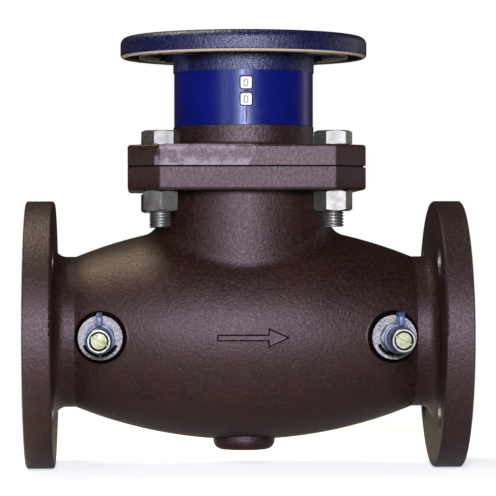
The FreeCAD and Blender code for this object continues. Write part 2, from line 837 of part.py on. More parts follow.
def test_plug(side_name, side):
    x = "%d * port_offset" % side
    washer_out = "port_face + port_washer"
    barrel_out = "port_face + plug_barrel"
    barrel = turned_to_front("PlugBarrel", [
        ("2.2", "port_face - 12"),
        ("port_thread_rad - running_gap", "port_face - 12"),
        ("port_thread_rad - running_gap", washer_out),
        ("plug_rad", washer_out),
        ("plug_rad", barrel_out),
        ("plug_rad - 1", barrel_out + " + 1"),
        ("5.5", barrel_out + " + 1"),
        ("5.5", barrel_out + " + 14"),
        ("5", barrel_out + " + 14.5"),
        ("2.2", barrel_out + " + 14.5"),
    ], x)
    nut = hexagon("plug_flats", "7", (x, "-(%s)" % washer_out, "0"), "-y", 0.0)
    nut_bore = cylinder("plug_rad - 0.5", "9", (x, "-(port_face)", "0"), "-y")
    finish(side_name + "_test_plug", join(barrel, cut(nut, nut_bore)))
    finish(side_name + "_plug_washer", tube("9.4", "6.6", "port_washer", (x, "-port_face", "0"), "-y"))
    finish(side_name + "_plug_core", cylinder("2.15", "plug_barrel + 22", (x, "8 - port_face", "0"), "-y"))
    start = barrel_out + " + 2"
    end = start + " + cap_length"
    cap = turned_to_front("CapForm", [
        ("6", start),
        ("cap_rad", start),
        ("cap_rad", end + " - 0.8"),
        ("cap_rad - 0.8", end, "0.8", 1),
        ("6", end),
        ("6", end + " - 2"),
        ("insert_rad", end + " - 2"),
        ("insert_rad", end + " - 6"),
        ("0", end + " - 6"),
        ("0", end + " - 10"),
        ("6", end + " - 10"),
    ], x)
    finish(side_name + "_plug_cap", cap)
    insert = cylinder("insert_rad - running_gap", "4.4", (x, "-(%s - 5.9)" % end, "0"), "-y")
    slot = box(("1.6", "4", "12"), (x, "-(%s)" % end, "-6"))
    finish(side_name + "_cap_insert", cut(insert, slot))
    eye_face = barrel_out + " - 7"
    eye = tube("plug_rad + 2", "plug_rad + running_gap", "2.4", (x, "-(%s)" % eye_face, "0"), "-y")
    band = extruded("StrapBand", "YZ_Plane", [
        ("-(%s)" % eye_face, "8.5"),
        ("-(%s)" % eye_face, "15"),
        ("-(%s + 3)" % eye_face, "18"),
        ("-(%s + 20)" % eye_face, "18"),
        ("-(%s + 23)" % eye_face, "15"),
        ("-(%s + 23)" % eye_face, "9"),
        ("-(%s + 21.4)" % eye_face, "9"),
        ("-(%s + 21.4)" % eye_face, "14.4"),
        ("-(%s + 19.4)" % eye_face, "16.4"),
        ("-(%s + 3.6)" % eye_face, "16.4"),
        ("-(%s + 1.6)" % eye_face, "14.4"),
        ("-(%s + 1.6)" % eye_face, "8.5"),
    ], "strap_wide", ("(%s) - strap_wide / 2" % x, "0", "0"))
    finish(side_name + "_cap_strap", join(eye, band))


valve_body()
seat_ring()
bonnet()
bonnet_gasket()
bonnet_fasteners()
stem_guides()
disc_set()
stem_and_stop()
handwheel()
indicator()
for side_name, side in (("inlet", -1), ("outlet", 1)):
    test_plug(side_name, side)

doc.recompute()

failed = [thing.Label for thing in doc.Objects if {"Invalid", "Error"} & set(thing.State)]
failed += [piece.Label for piece in FINISHED if piece.Shape.isNull() or not piece.Shape.isValid()]
if failed:
    raise RuntimeError("failed objects: " + ", ".join(failed))

os.makedirs("parts", exist_ok=True)
for piece in FINISHED:
    piece.Shape.exportStep("parts/%s.step" % piece.Label)
    print(piece.Label, len(piece.Shape.Solids), "solids", round(piece.Shape.Volume), "mm3")
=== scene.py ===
# %% [markdown]
# # A flanged balancing valve
#
# The valve is a painted iron casting with a pipe flange at each end, a square bonnet
# bolted on top, a blue digit drum and handwheel above it, and two test plugs in front.
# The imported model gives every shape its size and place. This script gives the pieces
# their finishes, and remakes the ones that need detail the plain model leaves out:
# screw threads, knurls, digits, cast edges and the flexible cap straps.

# %% Load the frame
import json
import math

import bmesh
import bpy
from mathutils import Matrix, Vector


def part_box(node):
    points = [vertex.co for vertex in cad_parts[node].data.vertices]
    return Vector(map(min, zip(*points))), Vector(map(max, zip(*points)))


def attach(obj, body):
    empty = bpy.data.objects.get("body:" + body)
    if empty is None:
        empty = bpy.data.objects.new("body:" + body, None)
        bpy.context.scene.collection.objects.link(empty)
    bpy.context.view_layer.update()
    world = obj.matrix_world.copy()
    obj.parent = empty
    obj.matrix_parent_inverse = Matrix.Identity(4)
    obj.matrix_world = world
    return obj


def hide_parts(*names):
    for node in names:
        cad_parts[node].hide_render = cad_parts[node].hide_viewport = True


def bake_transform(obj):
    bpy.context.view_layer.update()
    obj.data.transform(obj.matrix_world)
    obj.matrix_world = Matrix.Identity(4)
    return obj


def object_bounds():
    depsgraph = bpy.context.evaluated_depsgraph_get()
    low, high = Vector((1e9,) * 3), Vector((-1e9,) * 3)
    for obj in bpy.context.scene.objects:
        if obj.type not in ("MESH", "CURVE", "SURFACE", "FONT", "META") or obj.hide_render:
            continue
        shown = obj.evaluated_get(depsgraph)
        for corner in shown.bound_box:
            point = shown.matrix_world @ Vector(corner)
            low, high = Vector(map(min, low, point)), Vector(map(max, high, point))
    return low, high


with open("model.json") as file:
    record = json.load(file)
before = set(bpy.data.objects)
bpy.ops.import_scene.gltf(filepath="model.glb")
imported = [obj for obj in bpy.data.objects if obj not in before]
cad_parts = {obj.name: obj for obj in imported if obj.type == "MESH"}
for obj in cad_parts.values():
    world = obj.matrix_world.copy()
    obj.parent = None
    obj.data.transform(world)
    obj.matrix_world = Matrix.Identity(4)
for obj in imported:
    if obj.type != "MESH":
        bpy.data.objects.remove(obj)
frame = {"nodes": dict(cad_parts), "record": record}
cad_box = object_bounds()

MM = 0.001
BODY = "body"
WHEEL = "handwheel"

mounts = {mount["name"]: mount for mount in frame["record"]["mounts"]}
joints = {joint["name"]: joint for joint in frame["record"]["behaviour"]["joints"]}
STEM_X = joints["handwheel_turn"]["pos_m"][0]
print("stem axis at x =", STEM_X, "box", cad_box)

# %% [markdown]
# ## Helpers for boxes and pieces
#
# A node's box says where it lies, so the new pieces take their places from it. A piece is
# made in a bmesh, and becomes an object only when its mesh is finished: the object itself
# stays at the origin, because its place is in its vertices.

# %% Boxes and pieces
def low(node):
    return Vector(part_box(node)[0])


def high(node):
    return Vector(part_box(node)[1])


def middle(node):
    return (low(node) + high(node)) / 2


def make_piece(name, bm, finish, body, stands_for=(), smooth_angle=32.0):
    """Turn a bmesh into a piece that rides on a body, if one is named, and stands for CAD nodes."""
    mesh = bpy.data.meshes.new(name)
    bm.normal_update()
    for edge in bm.edges:
        faces = edge.link_faces
        flat_enough = len(faces) == 2 and edge.calc_face_angle(0.0) < math.radians(smooth_angle)
        edge.smooth = flat_enough
    for face in bm.faces:
        face.smooth = True
    bm.to_mesh(mesh)
    bm.free()
    mesh.materials.append(finish)
    piece = bpy.data.objects.new(name, mesh)
    bpy.context.scene.collection.objects.link(piece)
    if body:
        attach(piece, body)
    if stands_for:
        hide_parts(*stands_for)
    print(name, len(mesh.polygons), "faces")
    return piece


def facing(bm):
    """Merge doubles and turn all faces outwards."""
    bmesh.ops.remove_doubles(bm, verts=bm.verts[:], dist=1e-6)
    bmesh.ops.recalc_face_normals(bm, faces=bm.faces[:])


def turned(bm, profile, centre, axis=Vector((0, 0, 1)), steps=96):
    """Turn a profile of (radius, distance along the axis) about a line through the centre."""
    side = axis.orthogonal().normalized()
    verts = [bm.verts.new(centre + side * radius + axis * along) for radius, along in profile]
    edges = [bm.edges.new(pair) for pair in zip(verts, verts[1:])]
    first_radius, last_radius = profile[0][0], profile[-1][0]
    if first_radius > 0 and last_radius > 0:
        edges.append(bm.edges.new((verts[-1], verts[0])))
    bmesh.ops.spin(
        bm,
        geom=verts + edges,
        cent=centre,
        axis=axis,
        dvec=(0, 0, 0),
        angle=math.tau,
        steps=steps,
        use_merge=True,
        use_normal_flip=False,
        use_duplicate=False,
    )


def node_copy(node):
    """A merged copy of a CAD node's mesh, ready to be worked on."""
    bm = bmesh.new()
    bm.from_mesh(frame["nodes"][node].data)
    bmesh.ops.remove_doubles(bm, verts=bm.verts[:], dist=2e-6)
    for face in bm.faces:
        face.material_index = 0
    return bm


# %% [markdown]
# ## Finishes
#
# Each finish is a small node tree on a Principled shader. All patterns are read from
# Object coordinates, which are metres in the shared frame, so a grain of 0.5 mm is a
# noise scale of 2000. The class below gives the nodes that all finishes share short
# names, so that each finish reads like a recipe.

# %% Node helpers
class Finish:
    """A material under construction, with short names for the nodes that finishes share."""

    def __init__(self, name, colour, rough, metal=0.0):
        self.material = bpy.data.materials.new(name)
        self.material.use_nodes = True
        self.tree = self.material.node_tree
        self.shader = self.tree.nodes["Principled BSDF"]
        self.shader.inputs["Base Color"].default_value = (*colour, 1.0)
        self.shader.inputs["Roughness"].default_value = rough
        self.shader.inputs["Metallic"].default_value = metal
        self.place = self.tree.nodes.new("ShaderNodeTexCoord").outputs["Object"]

    def link(self, start, end):
        self.tree.links.new(start, end)

    def noise(self, size, detail=4.0, roughness=0.55, stretch=None):
        """Noise whose blobs are about size metres across."""
        noise = self.tree.nodes.new("ShaderNodeTexNoise")
        noise.inputs["Scale"].default_value = 1.0 / size
        noise.inputs["Detail"].default_value = detail
        noise.inputs["Roughness"].default_value = roughness
        source = self.place
        if stretch:
            mapping = self.tree.nodes.new("ShaderNodeMapping")
            mapping.inputs["Scale"].default_value = stretch
            self.link(self.place, mapping.inputs["Vector"])
            source = mapping.outputs["Vector"]
        self.link(source, noise.inputs["Vector"])
        return noise.outputs["Fac"]

    def ramp(self, source, *stops):
        """A colour ramp of (position, colour) stops, colours as grey values or triples."""
        ramp = self.tree.nodes.new("ShaderNodeValToRGB")
        band = ramp.color_ramp
        while len(band.elements) < len(stops):
            band.elements.new(0.5)
        for element, (position, colour) in zip(band.elements, stops):
            element.position = position
            grey = isinstance(colour, (int, float))
            element.color = (colour, colour, colour, 1.0) if grey else (*colour, 1.0)
        self.link(source, ramp.inputs["Fac"])
        return ramp.outputs["Color"]

    def mix(self, share, first, second):
        """Mix two colours, each a triple or an output."""
        mix = self.tree.nodes.new("ShaderNodeMix")
        mix.data_type = "RGBA"
        for socket, source in ((mix.inputs[0], share), (mix.inputs[6], first), (mix.inputs[7], second)):
            if isinstance(source, (int, float)):
                socket.default_value = source
            elif isinstance(source, tuple):
                socket.default_value = (*source, 1.0)
            else:
                self.link(source, socket)
        return mix.outputs[2]

    def math(self, kind, first, second=0.0):
        node = self.tree.nodes.new("ShaderNodeMath")
        node.operation = kind
        for socket, source in zip(node.inputs, (first, second)):
            if isinstance(source, (int, float)):
                socket.default_value = source
            else:
                self.link(source, socket)
        return node.outputs[0]

    def below(self, source, limit):
        """1 where the value is under the limit."""
        return self.math("LESS_THAN", source, limit)

    def above(self, source, limit):
        """1 where the value is over the limit."""
        return self.math("GREATER_THAN", source, limit)

    def both(self, first, second):
        """1 where both masks are 1."""
        return self.math("MULTIPLY", first, second)

    def bump(self, height, depth, strength=1.0):
        """Bump of the given depth in metres, on top of any bump made before."""
        bump = self.tree.nodes.new("ShaderNodeBump")
        bump.inputs["Strength"].default_value = strength
        bump.inputs["Distance"].default_value = depth
        self.link(height, bump.inputs["Height"])
        taken = self.shader.inputs["Normal"]
        if taken.is_linked:
            self.link(taken.links[0].from_socket, bump.inputs["Normal"])
        self.link(bump.outputs["Normal"], taken)

    def along(self, index):
        """The Object coordinate along X, Y or Z, for index 0, 1 or 2."""
        split = self.tree.nodes.new("ShaderNodeSeparateXYZ")
        self.link(self.place, split.inputs[0])
        return split.outputs[index]

    def from_line(self, first, second):
        """Distance from a line, given the two offsets across it."""
        squares = [self.math("MULTIPLY", offset, offset) for offset in (first, second)]
        return self.math("SQRT", self.math("ADD", *squares))

    def within(self, source, start, end):
        """1 where the value lies between start and end, and 0 elsewhere."""
        return self.both(self.above(source, start), self.below(source, end))

    def colour(self, source):
        self.link(source, self.shader.inputs["Base Color"])

    def rough(self, source):
        self.link(source, self.shader.inputs["Roughness"])

    def metal(self, source):
        self.link(source, self.shader.inputs["Metallic"])

    def corners(self, reach):
        """White in inner corners, where shade is painted: within about reach metres of a wall."""
        hollow = self.tree.nodes.new("ShaderNodeAmbientOcclusion")
        hollow.samples = 6
        hollow.inputs["Distance"].default_value = reach
        return self.ramp(hollow.outputs["AO"], (0.45, 1.0), (0.90, 0.0))

    def edges(self, reach, sharp=0.45):
        """White on outer edges, where the surface bends away sharply: partly worn paint, partly a painted
        highlight.
        """
        geometry = self.tree.nodes.new("ShaderNodeNewGeometry")
        return self.ramp(geometry.outputs["Pointiness"], (sharp, 0.0), (reach, 1.0))


# %% [markdown]
# ## Cast paint
#
# The body and bonnet are sand castings under thin dark brown paint. The paint follows the
# sand's grain, so it glints in small sparkles. It is lighter along the cast edges, partly
# rubbed and partly a painted highlight, and its inner corners carry painted shade. Three
# sizes of noise do this: slow drifts of colour, the sand's grain of about a millimetre,
# and a fine tooth that breaks up the gloss.

# %% Cast paint
PAINTED_SHADE = (0.0030, 0.0015, 0.0015)


class CastPaint(Finish):
    """Thin paint over a sand casting: a colour that drifts, the sand's grain, and a tooth."""

    def __init__(self, name, base, warm, light, glint, shine=0.30, grain_depth=0.00042, polish=0.32):
        super().__init__(name, base, 0.55)
        self.shader.inputs["Specular IOR Level"].default_value = shine
        self.shader.inputs["Specular Tint"].default_value = (*glint, 1.0)
        drift = self.noise(0.028, 4.0, 0.6)
        self.grain = self.noise(0.0022, 6.0, 0.68)
        tooth = self.noise(0.0006, 2.0)
        mottled = self.mix(self.ramp(drift, (0.35, 0.0), (0.68, 1.0)), base, warm)
        speckled = self.mix(self.ramp(self.grain, (0.46, 0.0), (0.78, 0.60)), mottled, light)
        # Outer edges are painted lighter: partly worn paint, partly a painted highlight.
        rubbed = self.mix(self.math("MULTIPLY", self.edges(0.57, 0.52), 0.5), speckled, light)
        # Painted shade darkens the inner corners, found by ambient occlusion at two reaches.
        corner_shaded = self.mix(self.math("MULTIPLY", self.corners(0.007), 0.85), rubbed, PAINTED_SHADE)
        self.painted = self.mix(self.math("MULTIPLY", self.corners(0.0018), 0.95), corner_shaded, PAINTED_SHADE)
        self.gloss = self.ramp(self.grain, (0.30, polish), (0.70, polish + 0.24))
        self.bare = 0.0
        self.soot = 0.0
        self.shine = shine
        self.bump(drift, 0.0009, 0.6)
        self.bump(self.grain, grain_depth)
        self.bump(tooth, 0.00005)

    def patch(self, mask, colour):
        """Paint over the part of the surface where the mask is 1."""
        self.painted = self.mix(mask, self.painted, colour)

    def soil(self, mask):
        """Paint dark, dull shade where the mask is 1."""
        self.patch(mask, PAINTED_SHADE)
        self.soot = self.math("MAXIMUM", self.soot, mask)

    def strip(self, mask, metal_colour):
        """Take the paint off where the mask is 1, down to machined iron."""
        self.painted = self.mix(mask, self.painted, metal_colour)
        self.bare = self.math("MAXIMUM", self.bare, mask)

    def done(self):
        self.colour(self.painted)
        self.rough(self.gloss)
        if not isinstance(self.bare, float):
            self.metal(self.math("MULTIPLY", self.bare, 0.85))
        # Where shade is painted, the gloss is taken away too.
        if not isinstance(self.soot, float):
            unshaded = self.math("SUBTRACT", 1.0, self.soot)
            self.link(self.math("MULTIPLY", unshaded, self.shine), self.shader.inputs["Specular IOR Level"])
        return self.material


BROWN = (0.0080, 0.0022, 0.0014)
BROWN_WARM = (0.0125, 0.0050, 0.0018)
BROWN_LIGHT = (0.0220, 0.0160, 0.0180)
LILAC_GLINT = (1.0, 0.80, 1.0)
IRON = (0.33, 0.33, 0.34)

# %% [markdown]
# ## The body's paint
#
# A machinist faces the flanges, drills them and spot-faces the two bosses once the
# casting is painted. Painting these places by hand on the mesh would tie the finish to
# its faces, so they are found by position instead: a distance from the stem, from a
# bolt hole or from a boss decides where the paint stops.

# %% Body paint, with its machined faces
# The pipe faces, the bolt holes and the faces of the two test bosses were machined
# after painting, so they are bare. Painted shade, dark and dull, rings each boss and
# outlines the raised flow arrow.
body_paint = CastPaint("body_brown_paint", BROWN, BROWN_WARM, BROWN_LIGHT, LILAC_GLINT)
across = body_paint.math("ABSOLUTE", body_paint.math("SUBTRACT", body_paint.along(0), STEM_X))
depth = body_paint.along(1)
rise = body_paint.along(2)
boss_reach = abs(middle("inlet_test_plug").x - STEM_X)
hole_offset = mounts["inlet_bolts"]["dims"]["pcd_mm"] * MM / 2 * math.sqrt(0.5)
BOSS_FACE = 0.066
BOSS_RADIUS = 0.0144
BOSS_SHADE_RADIUS = 0.0172
FRONT_HALF = -0.030
HOLE_RADIUS = 0.00985
FLANGE_INSIDE = 0.12
CUT_PITCH = 0.0011
CUT_DEPTH = 0.00005
HOLE_COLOUR = (0.10, 0.09, 0.09)
BOSS_DARK = (0.060, 0.060, 0.072)
BOSS_LIGHT = (0.150, 0.147, 0.168)

ARROW_TAIL = -0.0199
ARROW_NECK = 0.0131
SHAFT_END = 0.0145
ARROW_TIP = 0.0272
HALF_SHAFT = 0.0022
HEAD_SLOPE = 0.4545
ARROW_TOP = -0.0729
BELLY_FRONT = -0.060

# Painted shade along the edges of the raised flow arrow: its sides and the belly just round it.
ahead = body_paint.math("SUBTRACT", body_paint.along(0), STEM_X)
off_line = body_paint.math("ABSOLUTE", rise)
shaft = body_paint.both(
    body_paint.within(ahead, ARROW_TAIL, SHAFT_END),
    body_paint.below(off_line, HALF_SHAFT),
)
taper = body_paint.math("MULTIPLY", body_paint.math("SUBTRACT", ARROW_TIP, ahead), HEAD_SLOPE)
head = body_paint.both(
    body_paint.within(ahead, ARROW_NECK, ARROW_TIP),
    body_paint.below(off_line, taper),
)
arrow_shade_outline = body_paint.both(
    body_paint.math("MAXIMUM", shaft, head),
    body_paint.within(depth, ARROW_TOP, BELLY_FRONT),
)
pipe_face = body_paint.above(across, STEM_X - 0.0004)
from_hole = body_paint.from_line(
    body_paint.math("SUBTRACT", body_paint.math("ABSOLUTE", depth), hole_offset),
    body_paint.math("SUBTRACT", body_paint.math("ABSOLUTE", rise), hole_offset),
)
in_hole = body_paint.both(body_paint.below(from_hole, HOLE_RADIUS), body_paint.above(across, FLANGE_INSIDE))
# Painted shade: a dark ring round each test boss, where shade falls in the corner.
from_boss = body_paint.from_line(body_paint.math("SUBTRACT", across, boss_reach), rise)
round_boss = body_paint.within(from_boss, BOSS_RADIUS - 0.0002, BOSS_SHADE_RADIUS)
boss_shade_ring = body_paint.both(round_boss, body_paint.below(depth, FRONT_HALF))
boss_top = body_paint.both(
    body_paint.below(from_boss, BOSS_RADIUS),
    body_paint.below(depth, -BOSS_FACE + 0.0003),
)
from_pipe_axis = body_paint.from_line(depth, rise)
cut_rings = body_paint.math("SINE", body_paint.math("MULTIPLY", from_pipe_axis, math.tau / CUT_PITCH))
body_paint.bump(body_paint.both(cut_rings, pipe_face), CUT_DEPTH)
body_paint.soil(arrow_shade_outline)
body_paint.soil(boss_shade_ring)
body_paint.strip(pipe_face, IRON)
body_paint.strip(in_hole, HOLE_COLOUR)
boss_spots = body_paint.noise(0.0012, 5.0, 0.7)
body_paint.strip(boss_top, body_paint.ramp(boss_spots, (0.40, BOSS_DARK), (0.66, BOSS_LIGHT)))
body_brown = body_paint.done()
print("made", body_brown.name)

# %% [markdown]
# ## The bonnet's paint
#
# The bonnet has the same paint as the body, with one worn patch. Noise decides where
# inside the patch the paint has gone, so its edge is ragged like a real scuff.

# %% Bonnet paint, scuffed on one corner
# Something has rubbed along the front left edge of the bonnet's square flange.
bonnet_paint = CastPaint(
    "bonnet_brown_paint",
    BROWN,
    BROWN_WARM,
    BROWN_LIGHT,
    LILAC_GLINT,
    shine=0.36,
    grain_depth=0.00044,
    polish=0.29,
)
beside = bonnet_paint.along(0)
level = bonnet_paint.along(2)
SCUFF_MIDDLE = 0.1185
SCUFF_TOP = 0.1252
SCUFF_LEFT = STEM_X - 0.0590
SCUFF_RIGHT = STEM_X + 0.0035
SCUFF_SLANT = 0.45
SQUARE_FRONT = -0.074
SCUFF_COLOUR = (0.105, 0.095, 0.112)
above_middle = bonnet_paint.math("SUBTRACT", level, SCUFF_MIDDLE)
slant = bonnet_paint.math("MULTIPLY", above_middle, SCUFF_SLANT)
scuff_zone = bonnet_paint.both(
    bonnet_paint.within(bonnet_paint.math("SUBTRACT", beside, slant), SCUFF_LEFT, SCUFF_RIGHT),
    bonnet_paint.within(level, low("bonnet_gasket").z, SCUFF_TOP),
)
from_middle = bonnet_paint.math("ABSOLUTE", above_middle)
scuffs = bonnet_paint.noise(0.007, 5.0, 0.7)
rubbed = bonnet_paint.math("ADD", scuffs, bonnet_paint.math("MULTIPLY", from_middle, 32.0))
on_front = bonnet_paint.both(scuff_zone, bonnet_paint.below(bonnet_paint.along(1), SQUARE_FRONT))
ragged = bonnet_paint.ramp(rubbed, (0.56, 0.10), (0.72, 1.0))
bonnet_paint.patch(bonnet_paint.both(on_front, ragged), SCUFF_COLOUR)
bonnet_brown = bonnet_paint.done()
print("made", bonnet_brown.name)

# %% [markdown]
# ## Blue paint and the blue drum
#
# The handwheel is a casting too, under a dark blue textured paint, so it uses the same
# recipe with a coarser grain. The drum is smooth moulded plastic: a deep even blue with
# a soft gloss and only a faint ripple.

# %% Blues
WHEEL_RADIUS = (high("handwheel").x - low("handwheel").x) / 2
RIM_LOW = 0.1840
LIP = 0.0026
CHANNEL_TOP = 0.1925
RIM_INSIDE = WHEEL_RADIUS - 0.0150

wheel_finish = CastPaint(
    "wheel_blue_paint",
    base=(0.0022, 0.0035, 0.026),
    warm=(0.0040, 0.0050, 0.024),
    light=(0.018, 0.028, 0.080),
    glint=(0.66, 0.74, 1.0),
    shine=0.46,
    grain_depth=0.00052,
    polish=0.20,
)
wheel_out = wheel_finish.from_line(
    wheel_finish.math("SUBTRACT", wheel_finish.along(0), STEM_X), wheel_finish.along(1)
)
under_rim = wheel_finish.both(
    wheel_finish.below(wheel_finish.along(2), CHANNEL_TOP + 0.0004),
    wheel_finish.within(wheel_out, RIM_INSIDE + LIP - 0.0002, WHEEL_RADIUS - LIP + 0.0002),
)
lip_edge = wheel_finish.both(
    wheel_finish.below(wheel_finish.along(2), RIM_LOW + 0.0014),
    wheel_finish.above(wheel_out, RIM_INSIDE - 0.001),
)
# The channel under the rim is painted dark brown as painted shade; the lower lip is painted pale where the
# paint is worn.
CHANNEL_SHADE = (0.020, 0.010, 0.006)
LIP_BEIGE = (0.34, 0.29, 0.23)
wheel_finish.patch(under_rim, CHANNEL_SHADE)
wheel_finish.patch(lip_edge, LIP_BEIGE)
wheel_blue = wheel_finish.done()


def drum_plastic():
    plastic = Finish("drum_blue_plastic", (0.0012, 0.003, 0.075), 0.34)
    plastic.shader.inputs["Specular IOR Level"].default_value = 0.22
    plastic.shader.inputs["Specular Tint"].default_value = (0.60, 0.70, 1.0, 1.0)
    ripple = plastic.noise(0.012, 3.0, stretch=(1.0, 1.0, 0.35))
    scuff = plastic.noise(0.0012, 4.0, stretch=(1.0, 1.0, 0.25))
    deep = (0.0010, 0.0028, 0.066)
    pale = (0.0014, 0.0040, 0.090)
    plastic.colour(plastic.mix(plastic.ramp(ripple, (0.35, 0.0), (0.7, 1.0)), deep, pale))
    plastic.rough(plastic.ramp(scuff, (0.35, 0.28), (0.75, 0.40)))
    plastic.bump(ripple, 0.00006)
    plastic.bump(scuff, 0.000012)
    return plastic.material


drum_blue = drum_plastic()
print("made", wheel_blue.name, drum_blue.name)

# %% [markdown]
# ## Bare metals
#
# Bolts and nuts are zinc plated, cloudy with small stains. Steel, brass, bronze, nickel
# and the test plugs are the same recipe with another colour and roughness: two greys or
# browns mixed by soft noise, and a fine noise that makes the gloss uneven.

# %% Metals
def plain_metal(name, colour, dark, rough, stain=0.006, scratch=(1.0, 1.0, 1.0), depth=0.00003):
    metal = Finish(name, colour, rough, metal=1.0)
    cloud = metal.noise(stain, 4.0)
    fine = metal.noise(0.0007, 3.0, stretch=scratch)
    worn = metal.mix(metal.ramp(cloud, (0.38, 0.0), (0.72, 1.0)), colour, dark)
    metal.colour(worn)
    metal.rough(metal.ramp(fine, (0.30, max(rough - 0.08, 0.05)), (0.75, rough + 0.14)))
    metal.bump(fine, depth)
    return metal.material


zinc = plain_metal("zinc_plate", (0.225, 0.23, 0.235), (0.140, 0.136, 0.132), 0.46)
steel = plain_metal("machined_steel", (0.55, 0.56, 0.58), (0.42, 0.43, 0.45), 0.24, scratch=(1, 1, 12))
brass = plain_metal("turned_brass", (0.115, 0.125, 0.095), (0.070, 0.068, 0.036), 0.46)
bronze = plain_metal("turned_bronze", (0.60, 0.40, 0.20), (0.42, 0.27, 0.13), 0.32)
nickel = plain_metal("nickel_plate", (0.120, 0.130, 0.138), (0.075, 0.085, 0.092), 0.44)
plug_steel = plain_metal("plug_steel", (0.060, 0.068, 0.080), (0.040, 0.045, 0.055), 0.40)
print("made the metals")

# %% [markdown]
# ## Rubber, fibre, dials and windows
#
# The small soft pieces are nearly black and dull. The dials behind the windows are white
# plastic, with numerals printed in grey. The windows are thin clear plastic.

# %% Other finishes
def dull(name, colour, rough, grain=0.0008, depth=0.00003, shine=0.5):
    soft = Finish(name, colour, rough)
    soft.shader.inputs["Specular IOR Level"].default_value = shine
    grains = soft.noise(grain, 3.0)
    darker = tuple(part * 0.72 for part in colour)
    soft.colour(soft.mix(soft.ramp(grains, (0.35, 0.0), (0.70, 1.0)), colour, darker))
    soft.rough(soft.ramp(grains, (0.30, max(rough - 0.07, 0.05)), (0.75, min(rough + 0.07, 1.0))))
    soft.bump(grains, depth)
    return soft.material


def clear_plastic():
    clear = Finish("window_plastic", (0.80, 0.86, 0.88), 0.12)
    clear.shader.inputs["Alpha"].default_value = 0.10
    clear.shader.inputs["Specular IOR Level"].default_value = 0.05
    clear.shader.inputs["IOR"].default_value = 1.05
    haze = clear.noise(0.002, 2.0)
    clear.rough(clear.ramp(haze, (0.30, 0.10), (0.80, 0.22)))
    return clear.material


rubber = dull("black_rubber", (0.020, 0.020, 0.022), 0.62)
fibre = dull("joint_fibre", (0.006, 0.005, 0.005), 0.90, 0.0014, shine=0.05)
dial_white = dull("dial_white", (0.60, 0.61, 0.60), 0.60, shine=0.2)
numeral_grey = dull("numeral_grey", (0.010, 0.009, 0.008), 0.8, shine=0.08)
strap_blue = dull("strap_blue", (0.022, 0.050, 0.13), 0.40, shine=0.30)
window_clear = clear_plastic()
print("made the other finishes")

# %% [markdown]
# ## Give the plain nodes their finishes
#
# A node whose shape is already right keeps it, and only gets a material. These are mostly
# the pieces inside the valve, which show through the open pipe ends and in the poses.

# %% Node finishes
NODE_FINISH = {
    "seat_ring": bronze,
    "bonnet_gasket": fibre,
    "guide_bush": brass,
    "stem_seals": rubber,
    "thrust_washer": bronze,
    "guide_pins": steel,
    "disc_carrier": bronze,
    "regulating_disc": bronze,
    "disc_seal": rubber,
    "throttle_plug": bronze,
    "plug_screw": steel,
    "stem": steel,
    "stem_clip": steel,
    "drive_key": steel,
    "lift_stop_screw": steel,
    "wheel_washer": zinc,
    "wheel_nut": zinc,
    "hub_cap": drum_blue,
    "indicator_drum": drum_blue,
    "drum_screws": steel,
    "window_lenses": window_clear,
    "turns_ring": dial_white,
    "ring_retainer": drum_blue,
    "tenths_ring": dial_white,
    "bonnet": bonnet_brown,
    "valve_body": body_brown,
    "handwheel": wheel_blue,
    "bonnet_bolts": zinc,
    "bonnet_nuts": zinc,
}
for side in ("inlet", "outlet"):
    NODE_FINISH[side + "_test_plug"] = plug_steel
    NODE_FINISH[side + "_plug_washer"] = rubber
    NODE_FINISH[side + "_plug_core"] = rubber
    NODE_FINISH[side + "_plug_cap"] = nickel
    NODE_FINISH[side + "_cap_insert"] = brass
    NODE_FINISH[side + "_cap_strap"] = strap_blue

for node, finish in NODE_FINISH.items():
    slots = frame["nodes"][node].material_slots
    for slot in slots:
        slot.material = finish
print("finished", len(NODE_FINISH), "nodes")

# %% [markdown]
# ## Bolts and nuts
#
# A real bolt head is a hexagon whose top corners have been turned off at an angle, which
# leaves a round arc over each flat. It could be made as a six-sided prism with bevelled
# edges, but the arcs come out right only when the head is made as the machine makes it:
# a round blank is turned first, and then six flats are cut from it. The thread is a
# profile of one pitch that is spun round the bolt while it climbs, and then cut level.

# %% Cutting flats
def cut_level(bm, point, normal):
    """Cut away everything on the normal's side of a plane, and close the cut."""
    geom = bm.verts[:] + bm.edges[:] + bm.faces[:]
    made = bmesh.ops.bisect_plane(bm, geom=geom, dist=1e-7, plane_co=point, plane_no=normal, clear_outer=True)
    rim = [item for item in made["geom_cut"] if isinstance(item, bmesh.types.BMEdge)]
    bmesh.ops.holes_fill(bm, edges=rim, sides=0)


def cut_hexagon(bm, centre, across_flats, first_flat):
    """Cut six flats about a vertical line, the first one facing the given bearing."""
    for turn_index in range(6):
        bearing = math.radians(first_flat + 60 * turn_index)
        outward = Vector((math.cos(bearing), math.sin(bearing), 0))
        cut_level(bm, centre + outward * across_flats / 2, outward)


def add_bmesh(total, part):
    """Move one bmesh's faces into another."""
    mesh = bpy.data.meshes.new("joining")
    part.to_mesh(mesh)
    part.free()
    total.from_mesh(mesh)
    bpy.data.meshes.remove(mesh)


# %% [markdown]
# ## A screw thread
#
# A stack of rings would look like a thread from afar, but a thread is one long spiral.
# One pitch of it is drawn as a short zigzag, and the zigzag is spun about the bolt while
# it climbs. The ends of the spiral are then cut level.

